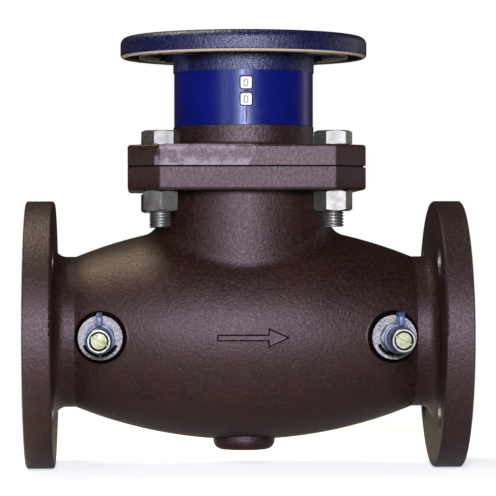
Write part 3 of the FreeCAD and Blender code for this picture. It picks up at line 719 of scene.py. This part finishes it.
# %% A threaded rod
def threaded_rod(radius, pitch, bottom, top, centre):
    """A rod with a real screw thread between two levels, closed at both ends."""
    rod = bmesh.new()
    depth_of_thread = 0.58 * pitch
    rungs = [
        (radius - depth_of_thread, 0.0),
        (radius - depth_of_thread, 0.10),
        (radius, 0.48),
        (radius, 0.62),
        (radius - depth_of_thread, 1.0),
    ]
    turns = math.ceil((top - bottom) / pitch) + 2
    start = Vector((centre.x, centre.y, bottom - pitch))
    verts = [rod.verts.new(start + Vector((out, 0, up * pitch))) for out, up in rungs]
    edges = [rod.edges.new(pair) for pair in zip(verts, verts[1:])]
    facets = 24
    bmesh.ops.spin(
        rod,
        geom=verts + edges,
        cent=start,
        axis=(0, 0, 1),
        dvec=(0, 0, pitch / facets),
        angle=math.tau * turns,
        steps=facets * turns,
        use_merge=False,
    )
    bmesh.ops.remove_doubles(rod, verts=rod.verts[:], dist=1e-6)
    cut_level(rod, Vector((0, 0, top)), Vector((0, 0, 1)))
    cut_level(rod, Vector((0, 0, bottom)), Vector((0, 0, -1)))
    bmesh.ops.recalc_face_normals(rod, faces=rod.faces[:])
    return rod


# %% [markdown]
# ## The bonnet bolts
#
# Each bolt is a turned head with six flats, a plain shank through the two square
# flanges, and a threaded end. The four heads stop at different angles, as they do when
# they are tightened by hand, so one head copied four times would look wrong.

# %% The four bolts
BOLT_FLATS = 0.022
HEX_CORNER = BOLT_FLATS / math.sqrt(3)
CHAMFER = 0.0016
bolt_low = low("bonnet_bolts")
bolt_high = high("bonnet_bolts")
BONNET_PLATE = 0.0135
joint_top = high("bonnet_gasket").z + BONNET_PLATE
nut_low = low("bonnet_nuts").z
nut_high = high("bonnet_nuts").z
BOLT_OFFSET = 0.056
SHANK_RADIUS = 0.0070
bolt_places = [
    Vector((STEM_X + across_side * BOLT_OFFSET, front_side * BOLT_OFFSET, 0))
    for across_side in (-1, 1)
    for front_side in (-1, 1)
]
HEAD_BEARINGS = (-79, 40, -84, 15)
NUT_BEARINGS = (-60, 22, -84, 50)
THREAD_PITCH = 0.0020
WASHER_FACE = 0.0005

bolts = bmesh.new()
for place, bearing in zip(bolt_places, HEAD_BEARINGS):
    head = bmesh.new()
    blank = [
        (0, joint_top),
        (BOLT_FLATS / 2 - 0.0004, joint_top),
        (BOLT_FLATS / 2 - 0.0004, joint_top + WASHER_FACE),
        (HEX_CORNER, joint_top + WASHER_FACE),
        (HEX_CORNER, bolt_high.z - CHAMFER * 0.75),
        (HEX_CORNER - CHAMFER * 1.5, bolt_high.z - 0.0001),
        (0, bolt_high.z),
    ]
    turned(head, blank, place, steps=72)
    facing(head)
    cut_hexagon(head, place, BOLT_FLATS, bearing)
    add_bmesh(bolts, head)
    shank = bmesh.new()
    plain = [
        (0, nut_high - 0.002),
        (SHANK_RADIUS - 0.0002, nut_high - 0.002),
        (SHANK_RADIUS - 0.0002, joint_top),
        (0, joint_top),
    ]
    turned(shank, plain, place, steps=48)
    facing(shank)
    add_bmesh(bolts, shank)
    add_bmesh(bolts, threaded_rod(SHANK_RADIUS, THREAD_PITCH, bolt_low.z, nut_high - 0.001, place))
make_piece("bonnet_bolts_threaded", bolts, zinc, BODY, ["bonnet_bolts"], smooth_angle=28)

# %% [markdown]
# ## The nuts
#
# A nut is a turned ring with both corners taken off, and the same six cuts as the heads.

# %% The four nuts
nuts = bmesh.new()
for place, bearing in zip(bolt_places, NUT_BEARINGS):
    nut = bmesh.new()
    hole = SHANK_RADIUS + 0.0001
    ring = [
        (hole + 0.0008, nut_low),
        (HEX_CORNER - CHAMFER * 1.4, nut_low),
        (HEX_CORNER, nut_low + CHAMFER * 0.8),
        (HEX_CORNER, nut_high - CHAMFER * 0.8),
        (HEX_CORNER - CHAMFER * 1.4, nut_high),
        (hole + 0.0008, nut_high),
        (hole, nut_high - 0.0008),
        (hole, nut_low + 0.0008),
    ]
    turned(nut, ring, place, steps=72)
    facing(nut)
    cut_hexagon(nut, place, BOLT_FLATS, bearing)
    add_bmesh(nuts, nut)
make_piece("bonnet_nuts_chamfered", nuts, zinc, BODY, ["bonnet_nuts"], smooth_angle=28)

# %% [markdown]
# ## The handwheel casting
#
# The real wheel is hollow under its rim: a thin lip runs round the outside, and another
# round the inside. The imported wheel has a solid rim. A channel is cut up into a copy of
# it with a Boolean modifier and a turned cutter, which is the quickest way to take a
# groove out of a shape that already has spokes and a hub.

# %% Channel under the rim
def solid_object(name, bm):
    mesh = bpy.data.meshes.new(name)
    bm.to_mesh(mesh)
    bm.free()
    thing = bpy.data.objects.new(name, mesh)
    bpy.context.scene.collection.objects.link(thing)
    return thing


def boolean_result(base, cutter, operation="DIFFERENCE"):
    """The mesh of one object with another taken from it, as a new bmesh."""
    cutting = base.modifiers.new("cut", "BOOLEAN")
    cutting.operation = operation
    cutting.solver = "EXACT"
    cutting.object = cutter
    bpy.context.view_layer.update()
    graph = bpy.context.evaluated_depsgraph_get()
    evaluated = base.evaluated_get(graph)
    result = bmesh.new()
    result.from_mesh(evaluated.to_mesh())
    evaluated.to_mesh_clear()
    for thing in (base, cutter):
        mesh = thing.data
        bpy.data.objects.remove(thing)
        bpy.data.meshes.remove(mesh)
    return result


stem_foot = Vector((STEM_X, 0, 0))
channel = bmesh.new()
turned(
    channel,
    [
        (RIM_INSIDE + LIP, RIM_LOW - 0.002),
        (WHEEL_RADIUS - LIP, RIM_LOW - 0.002),
        (WHEEL_RADIUS - LIP, CHANNEL_TOP - 0.0015),
        (WHEEL_RADIUS - LIP - 0.0015, CHANNEL_TOP),
        (RIM_INSIDE + LIP + 0.0015, CHANNEL_TOP),
        (RIM_INSIDE + LIP, CHANNEL_TOP - 0.0015),
    ],
    stem_foot,
    steps=128,
)
facing(channel)
wheel_form = solid_object("wheel_form", node_copy("handwheel"))
wheel_casting = boolean_result(wheel_form, solid_object("channel", channel))
bmesh.ops.remove_doubles(wheel_casting, verts=wheel_casting.verts[:], dist=2e-6)
make_piece(
    "handwheel_casting", wheel_casting, wheel_blue, WHEEL, ["handwheel"], smooth_angle=35
)

# %% [markdown]
# ## Numerals on the dials
#
# Two rings carry the numerals 0 to 9. The lower one is fixed to the column and shows
# tenths of a turn, and the upper one steps round inside the drum and shows whole turns.
# Each numeral is a text curve made into a mesh, laid flat in front of its ring, and then
# wrapped round it: its distance along X becomes an angle about the stem.

# %% Numerals
def wrapped(bm, radius, bearing):
    """Wrap a flat drawing in the XZ plane about the stem: X is arc, -Y is outward."""
    for vert in bm.verts:
        angle = math.radians(bearing) + vert.co.x / radius
        out = radius - vert.co.y
        vert.co = Vector((STEM_X + out * math.cos(angle), out * math.sin(angle), vert.co.z))


def numeral(text, height, level, thickness):
    """One numeral as a flat solid in the XZ plane, centred on x = 0 and the level."""
    curve = bpy.data.curves.new("numeral", "FONT")
    curve.body = text
    curve.size = height * 1.42
    curve.align_x = "CENTER"
    curve.resolution_u = 6
    curve.extrude = thickness
    thing = bpy.data.objects.new("numeral", curve)
    bpy.context.scene.collection.objects.link(thing)
    bpy.context.view_layer.update()
    mesh = bpy.data.meshes.new_from_object(thing)
    bm = bmesh.new()
    bm.from_mesh(mesh)
    bpy.data.objects.remove(thing)
    bpy.data.curves.remove(curve)
    bpy.data.meshes.remove(mesh)
    bmesh.ops.rotate(bm, cent=(0, 0, 0), matrix=Matrix.Rotation(math.radians(90), 3, "X"), verts=bm.verts[:])
    heights = [vert.co.z for vert in bm.verts]
    bmesh.ops.translate(bm, vec=(0, 0, level - (max(heights) + min(heights)) / 2), verts=bm.verts[:])
    return bm


DIAL_RADIUS = (high("turns_ring").x - low("turns_ring").x) / 2
PRINT_THICK = 0.00006
FRONT = -90
NUMERAL_HIGH = 0.0052
NUMERAL_STEP = 36
for name, node, body in (
    ("turns_numerals", "turns_ring", "turns_ring"),
    ("tenths_numerals", "tenths_ring", BODY),
):
    dial = bmesh.new()
    for count in range(10):
        digit = numeral(str(count), NUMERAL_HIGH, middle(node).z, PRINT_THICK)
        wrapped(digit, DIAL_RADIUS + PRINT_THICK, FRONT + NUMERAL_STEP * count)
        add_bmesh(dial, digit)
    make_piece(name, dial, numeral_grey, body)

# %% [markdown]
# ## Window frames and index marks on the drum
#
# Each window has a thin dark edge with rounded corners, and a fine line is drawn down the
# drum through both windows, so the wheel's position can be read against it. A frame starts
# as a flat square, has its corners bevelled and its middle removed by an inset, and is
# then given a thickness and wrapped round the drum like the numerals.

# %% Frames and marks
DRUM_RADIUS = (high("indicator_drum").x - low("indicator_drum").x) / 2
WINDOW_WIDE = 0.0077
WINDOW_HIGH = 0.0084
window_levels = (middle("turns_ring").z, middle("tenths_ring").z)


def flat_plate(wide, tall, level, corner):
    """A plate in the XZ plane with rounded corners."""
    bm = bmesh.new()
    bmesh.ops.create_grid(bm, x_segments=1, y_segments=1, size=0.5)
    bmesh.ops.scale(bm, vec=(wide, tall, 1), verts=bm.verts[:])
    bmesh.ops.rotate(bm, cent=(0, 0, 0), matrix=Matrix.Rotation(math.radians(90), 3, "X"), verts=bm.verts[:])
    bmesh.ops.translate(bm, vec=(0, 0, level), verts=bm.verts[:])
    if corner:
        bmesh.ops.bevel(
            bm, geom=bm.verts[:], offset=corner, segments=5, profile=0.5, affect="VERTICES", material=-1
        )
    return bm


def thickened(bm, thickness):
    """Give a flat plate a thickness, outwards from the drum."""
    made = bmesh.ops.extrude_face_region(bm, geom=bm.faces[:])
    moved = [item for item in made["geom"] if isinstance(item, bmesh.types.BMVert)]
    bmesh.ops.translate(bm, vec=(0, -thickness, 0), verts=moved)
    bmesh.ops.recalc_face_normals(bm, faces=bm.faces[:])


frames = bmesh.new()
for level in window_levels:
    frame_edge = flat_plate(WINDOW_WIDE + 0.0010, WINDOW_HIGH + 0.0010, level, 0.0018)
    bmesh.ops.inset_region(
        frame_edge, faces=frame_edge.faces[:], thickness=0.0007, use_boundary=True, use_even_offset=True
    )
    inner = max(frame_edge.faces, key=lambda face: face.calc_area())
    bmesh.ops.delete(frame_edge, geom=[inner], context="FACES")
    thickened(frame_edge, 0.00022)
    wrapped(frame_edge, DRUM_RADIUS - 0.0001, FRONT)
    add_bmesh(frames, frame_edge)
window_edge = dull("window_edge_black", (0.006, 0.006, 0.012), 0.7, shine=0.04)
make_piece("window_frames", frames, window_edge, WHEEL)

index_red = dull("index_line_red", (0.070, 0.016, 0.030), 0.7, shine=0.08)
line = bmesh.new()
drum_low_z = low("indicator_drum").z
drum_high_z = high("indicator_drum").z
gap = 0.0008
upper_top = window_levels[0] + WINDOW_HIGH / 2 + gap
lower_bottom = window_levels[1] - WINDOW_HIGH / 2 - gap
for start, end in ((drum_low_z + 0.0010, lower_bottom), (upper_top, drum_high_z - 0.0006)):
    stroke = flat_plate(0.0007, end - start, (start + end) / 2, 0.0)
    thickened(stroke, 0.00012)
    wrapped(stroke, DRUM_RADIUS - 0.00003, FRONT)
    add_bmesh(line, stroke)
make_piece("index_line", line, index_red, WHEEL)

bar = flat_plate(0.0036, 0.0010, (window_levels[0] + window_levels[1]) / 2, 0.0)
thickened(bar, 0.00018)
wrapped(bar, DRUM_RADIUS - 0.00003, FRONT)
make_piece("index_bar", bar, window_edge, WHEEL)

# %% [markdown]
# ## Test plug caps
#
# A test plug is where a pressure gauge is pushed in. Each has a small screwed cap with a
# knurled edge to grip, and a slotted centre. The knurl is made by turning the cap from a
# profile in 96 steps and then drawing every second row of its outer points inwards. The
# flexible strap keeps the cap from being lost.

# %% Knurled caps
TO_FRONT = Vector((0, -1, 0))
KNURL_STEPS = 96
KNURL_DEPTH = 0.00035
GROOVE_START = 0.0032
GROOVE_END = 0.0050
CAP_BORE = 0.0060
POCKET = 0.0056
for side in ("inlet", "outlet"):
    node = side + "_plug_cap"
    start = -high(node).y
    end = -low(node).y
    radius = (high(node).x - low(node).x) / 2
    hub = Vector((middle(node).x, 0, 0))
    cap = bmesh.new()
    profile = [
        (CAP_BORE, start),
        (radius - 0.0006, start),
        (radius, start + 0.0006),
        (radius, start + GROOVE_START),
        (radius - 0.0007, start + GROOVE_START + 0.0004),
        (radius - 0.0007, start + GROOVE_END - 0.0004),
        (radius, start + GROOVE_END),
        (radius, end - 0.0042),
        (radius - 0.0004, end - 0.0034),
        (radius - 0.0004, end - 0.0008),
        (radius - 0.0010, end),
        (0.0062, end),
        (POCKET + 0.0001, end - 0.0006),
        (POCKET, end - 0.0059),
        (0.0030, end - 0.0060),
        (0.0030, end - 0.0100),
        (CAP_BORE, end - 0.0100),
    ]
    turned(cap, profile, hub, TO_FRONT, KNURL_STEPS)
    facing(cap)
    grip = []
    for vert in cap.verts:
        spoke = vert.co - hub
        turn_index = round(math.atan2(spoke.z, spoke.x) / (math.tau / KNURL_STEPS))
        on_rim = abs(math.hypot(spoke.x, spoke.z) - radius) < 1e-5
        past_groove = -vert.co.y > start + GROOVE_END - 0.0002
        if turn_index % 2 and on_rim and past_groove:
            grip.append(vert)
    for vert in grip:
        inward = Vector((hub.x - vert.co.x, 0, -vert.co.z)).normalized()
        bmesh.ops.translate(cap, vec=inward * KNURL_DEPTH, verts=[vert])
    make_piece(side + "_cap_knurled", cap, nickel, side + "_cap", [node], smooth_angle=24)

# %% [markdown]
# ## The brass centres
#
# A screwdriver slot crosses the end of each cap's centre. The slot is taken out with a
# Boolean, since its ends run out through the round edge.

# %% Slotted centres
SLUG_RADIUS = 0.0055
SLUG_BEVEL = 0.0006
SLOT_SIZE = (0.0120, 0.0030, 0.0012)
SLOT_TILT = math.radians(28)
for side in ("inlet", "outlet"):
    node = side + "_cap_insert"
    hub = Vector((middle(node).x, 0, 0))
    front = -low(side + "_plug_cap").y - 0.0022
    back = -high(node).y + 0.0001
    slug = bmesh.new()
    turned(
        slug,
        [
            (0, back),
            (SLUG_RADIUS, back),
            (SLUG_RADIUS, front - SLUG_BEVEL),
            (SLUG_RADIUS - SLUG_BEVEL, front),
            (0, front),
        ],
        hub,
        TO_FRONT,
        64,
    )
    facing(slug)
    slot_cutter = bmesh.new()
    bmesh.ops.create_cube(slot_cutter, size=1.0)
    bmesh.ops.scale(slot_cutter, vec=SLOT_SIZE, verts=slot_cutter.verts[:])
    tilt = Matrix.Rotation(SLOT_TILT, 3, "Y")
    bmesh.ops.rotate(slot_cutter, cent=(0, 0, 0), matrix=tilt, verts=slot_cutter.verts[:])
    bmesh.ops.translate(slot_cutter, vec=hub + TO_FRONT * front, verts=slot_cutter.verts[:])
    slotted = boolean_result(solid_object("slug", slug), solid_object("slot", slot_cutter))
    make_piece(side + "_insert_slotted", slotted, brass, side + "_cap", [node])

# %% [markdown]
# ## The straps
#
# Each strap is a strip of soft plastic with an eye at each end: one round the plug, one
# in the cap's groove. The strip is drawn from the side as a path with rounded corners,
# widened, and given a thickness. It is attached to no body.

# %% Cap straps
STRAP_THICK = 0.0014
STRAP_WIDE = 0.0038
STRAP_BEND = 0.0011
STRAP_CROWN = 0.0005
EYE_BAND = 0.0021
for side in ("inlet", "outlet"):
    node = side + "_cap_strap"
    hub_x = middle(node).x
    hub = Vector((hub_x, 0, 0))
    plug_end = -high(node).y
    cap_end = -low(side + "_plug_cap").y - 0.0120
    top = high(node).z
    cap_radius = (high(side + "_plug_cap").x - low(side + "_plug_cap").x) / 2
    strap = bmesh.new()
    path = [
        (plug_end + 0.0008, 0.0092),
        (plug_end + 0.0008, top - 0.0028),
        (plug_end + 0.0034, top - 0.0007),
        (cap_end - 0.0034, top - 0.0007),
        (cap_end - 0.0008, top - 0.0028),
        (cap_end - 0.0008, cap_radius + 0.0008),
    ]
    verts = [strap.verts.new((hub_x - STRAP_WIDE / 2, -away, up)) for away, up in path]
    edges = [strap.edges.new(pair) for pair in zip(verts, verts[1:])]
    bmesh.ops.bevel(
        strap, geom=verts[1:-1], offset=STRAP_BEND, segments=4, profile=0.5, affect="VERTICES", material=-1
    )
    made = bmesh.ops.extrude_edge_only(strap, edges=strap.edges[:])
    moved = [item for item in made["geom"] if isinstance(item, bmesh.types.BMVert)]
    bmesh.ops.translate(strap, vec=(STRAP_WIDE, 0, 0), verts=moved)
    bmesh.ops.recalc_face_normals(strap, faces=strap.faces[:])
    bmesh.ops.solidify(strap, geom=strap.faces[:], thickness=STRAP_THICK)
    long_edges = [edge for edge in strap.edges if edge.calc_face_angle(0.0) > 1.2]
    bmesh.ops.bevel(
        strap, geom=long_edges, offset=STRAP_CROWN, segments=3, profile=0.5, affect="EDGES", material=-1
    )
    for inner, outer, away in (
        (0.00745, 0.0094, plug_end + 0.0001),
        (cap_radius - 0.0003, cap_radius + 0.00025, cap_end - 0.0022),
    ):
        eye = bmesh.new()
        turned(
            eye,
            [(inner, away), (outer, away), (outer, away + EYE_BAND), (inner, away + EYE_BAND)],
            hub,
            TO_FRONT,
            64,
        )
        facing(eye)
        edge_loops = [edge for edge in eye.edges if edge.calc_face_angle(0.0) > 1.0]
        bmesh.ops.bevel(
            eye, geom=edge_loops, offset=0.0003, segments=2, profile=0.5, affect="EDGES", material=-1
        )
        add_bmesh(strap, eye)
    piece = make_piece(side + "_strap_flexible", strap, strap_blue, None, [node], smooth_angle=40)
    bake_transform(piece)

# %% [markdown]
# ## Shadow arcs behind the caps
#
# Round each plug's hexagon lie two black arcs of painted shadow, with a gap between them
# at the bottom. Each arc is a small rectangle that is spun part of the way round the plug.

# %% Shadow arcs
# Painted shadow: two black arcs stand in for the shadow each cap casts on its boss.
shadow_arc_black = dull("shadow_arc_black", (0.002, 0.002, 0.003), 0.85, shine=0.05)
SHADOW_ARC_INNER = 0.0101
SHADOW_ARC_OUTER = 0.0121
SHADOW_ARC_WIDE = 0.0050
SHADOW_ARC_STAND_OFF = 0.0006
SHADOW_ARCS = ((204, 62), (276, 60))
for side in ("inlet", "outlet"):
    hub = Vector((middle(side + "_plug_cap").x, 0, 0))
    shadow_mesh = bmesh.new()
    for first, sweep in SHADOW_ARCS:
        arc = bmesh.new()
        bmesh.ops.create_grid(arc, x_segments=1, y_segments=1, size=0.5)
        bmesh.ops.scale(arc, vec=(SHADOW_ARC_OUTER - SHADOW_ARC_INNER, SHADOW_ARC_WIDE, 1), verts=arc.verts[:])
        out = (SHADOW_ARC_OUTER + SHADOW_ARC_INNER) / 2
        forward = -BOSS_FACE - SHADOW_ARC_STAND_OFF - SHADOW_ARC_WIDE / 2
        bmesh.ops.translate(arc, vec=(out, forward, 0), verts=arc.verts[:])
        to_first = Matrix.Rotation(math.radians(-first), 3, "Y")
        bmesh.ops.rotate(arc, cent=(0, 0, 0), matrix=to_first, verts=arc.verts[:])
        bmesh.ops.translate(arc, vec=hub, verts=arc.verts[:])
        bmesh.ops.spin(
            arc,
            geom=arc.faces[:] + arc.edges[:] + arc.verts[:],
            cent=hub,
            axis=(0, -1, 0),
            dvec=(0, 0, 0),
            angle=math.radians(sweep),
            steps=24,
            use_merge=False,
        )
        facing(arc)
        add_bmesh(shadow_mesh, arc)
    make_piece(side + "_shadow_arcs", shadow_mesh, shadow_arc_black, BODY)

# %% [markdown]
# ## Floor
#
# The valve stands on its two flanges on a plain white disc. The disc glows a little for
# the viewer, so that it fades into the white behind it and still takes a shadow.

# %% Floor
FLOOR_RADIUS = 0.62
FLOOR_GLOW = 0.60
floor_level = cad_box[0][2]
bm = bmesh.new()
bmesh.ops.create_circle(bm, cap_ends=True, segments=96, radius=FLOOR_RADIUS)
bmesh.ops.translate(bm, vec=(STEM_X, -0.12, floor_level - 0.0005), verts=bm.verts[:])
floor_mesh = bpy.data.meshes.new("floor")
bm.to_mesh(floor_mesh)
bm.free()
floor = bpy.data.objects.new("floor", floor_mesh)
bpy.context.scene.collection.objects.link(floor)
floor_white = Finish("floor_white", (0.88, 0.83, 0.82), 0.9)
floor_white.shader.inputs["Emission Color"].default_value = (0.92, 0.96, 1.0, 1.0)
floor_rays = floor_white.tree.nodes.new("ShaderNodeLightPath")
floor_glow = floor_white.math("MULTIPLY", floor_rays.outputs["Is Camera Ray"], FLOOR_GLOW)
floor_white.link(floor_glow, floor_white.shader.inputs["Emission Strength"])
floor_mesh.materials.append(floor_white.material)

# %% [markdown]
# ## Light
#
# Cast iron looks flat under even light, so most of it comes from one softbox just above
# the viewer, which draws the bright line down the neck. A weak one fills the left, a
# warm one high on the left colours the shoulder, and a strip on the right picks out the
# edges. The room itself is dim, and only its backdrop is white.

# %% World and lights
scene = bpy.context.scene
scene.view_settings.view_transform = "Standard"
scene.view_settings.look = "None"

world = bpy.data.worlds.new("studio")
scene.world = world
world.use_nodes = True
air = world.node_tree
dim_room = air.nodes["Background"]
dim_room.inputs["Color"].default_value = (1.0, 0.68, 0.66, 1.0)
dim_room.inputs["Strength"].default_value = 0.07
white_paper = air.nodes.new("ShaderNodeBackground")
white_paper.inputs["Color"].default_value = (1.0, 1.0, 1.0, 1.0)
white_paper.inputs["Strength"].default_value = 1.0
seen = air.nodes.new("ShaderNodeLightPath")
choose = air.nodes.new("ShaderNodeMixShader")
air.links.new(seen.outputs["Is Camera Ray"], choose.inputs[0])
air.links.new(dim_room.outputs[0], choose.inputs[1])
air.links.new(white_paper.outputs[0], choose.inputs[2])
air.links.new(choose.outputs[0], air.nodes["World Output"].inputs["Surface"])


def softbox(name, place, aim, width, height, power, colour):
    data = bpy.data.lights.new(name, "AREA")
    data.shape = "RECTANGLE"
    data.size = width
    data.size_y = height
    data.energy = power
    data.color = colour
    lamp = bpy.data.objects.new(name, data)
    scene.collection.objects.link(lamp)
    lamp.location = place
    lamp.rotation_euler = (Vector(aim) - Vector(place)).to_track_quat("-Z", "Y").to_euler()
    return lamp


centre = Vector((STEM_X, 0, 0.05))
softbox("front_light", (STEM_X - 0.06, -1.9, 0.28), centre, 0.22, 0.26, 64, (0.98, 0.96, 1.0))
softbox("left_light", (STEM_X - 1.0, -1.6, 0.40), centre, 0.35, 0.60, 9, (0.96, 0.97, 1.0))
softbox("overhead_left_light", (STEM_X - 0.55, 0.15, 1.30), centre, 0.5, 0.5, 19, (1.0, 0.92, 0.60))
softbox("right_strip", (STEM_X + 1.2, 0.72, 0.30), centre, 0.20, 0.9, 2, (1.0, 0.90, 0.86))

# %% [markdown]
# ## Camera
#
# The valve is seen square on from far away, a little to the left of the stem, through a
# long lens, so that the two flanges look almost the same size.

# %% Camera
camera_data = bpy.data.cameras.new("camera")
camera = bpy.data.objects.new("camera", camera_data)
bpy.context.scene.collection.objects.link(camera)
EYE = Vector((STEM_X - 0.0696, -1.836, 0.0609))
TURN_RIGHT = math.radians(2.26)
TILT_DOWN = math.radians(0.10)
ROLL = math.radians(0.08)
camera.location = EYE
turn = Matrix.Rotation(-TURN_RIGHT, 4, "Z")
tilt = Matrix.Rotation(-TILT_DOWN, 4, "X")
roll = Matrix.Rotation(ROLL, 4, "Y")
upright = Matrix.Rotation(math.radians(90), 4, "X")
camera.rotation_euler = (turn @ tilt @ roll @ upright).to_euler()
camera_data.sensor_width = 36.0
camera_data.lens = 199.4
bpy.context.scene.camera = camera
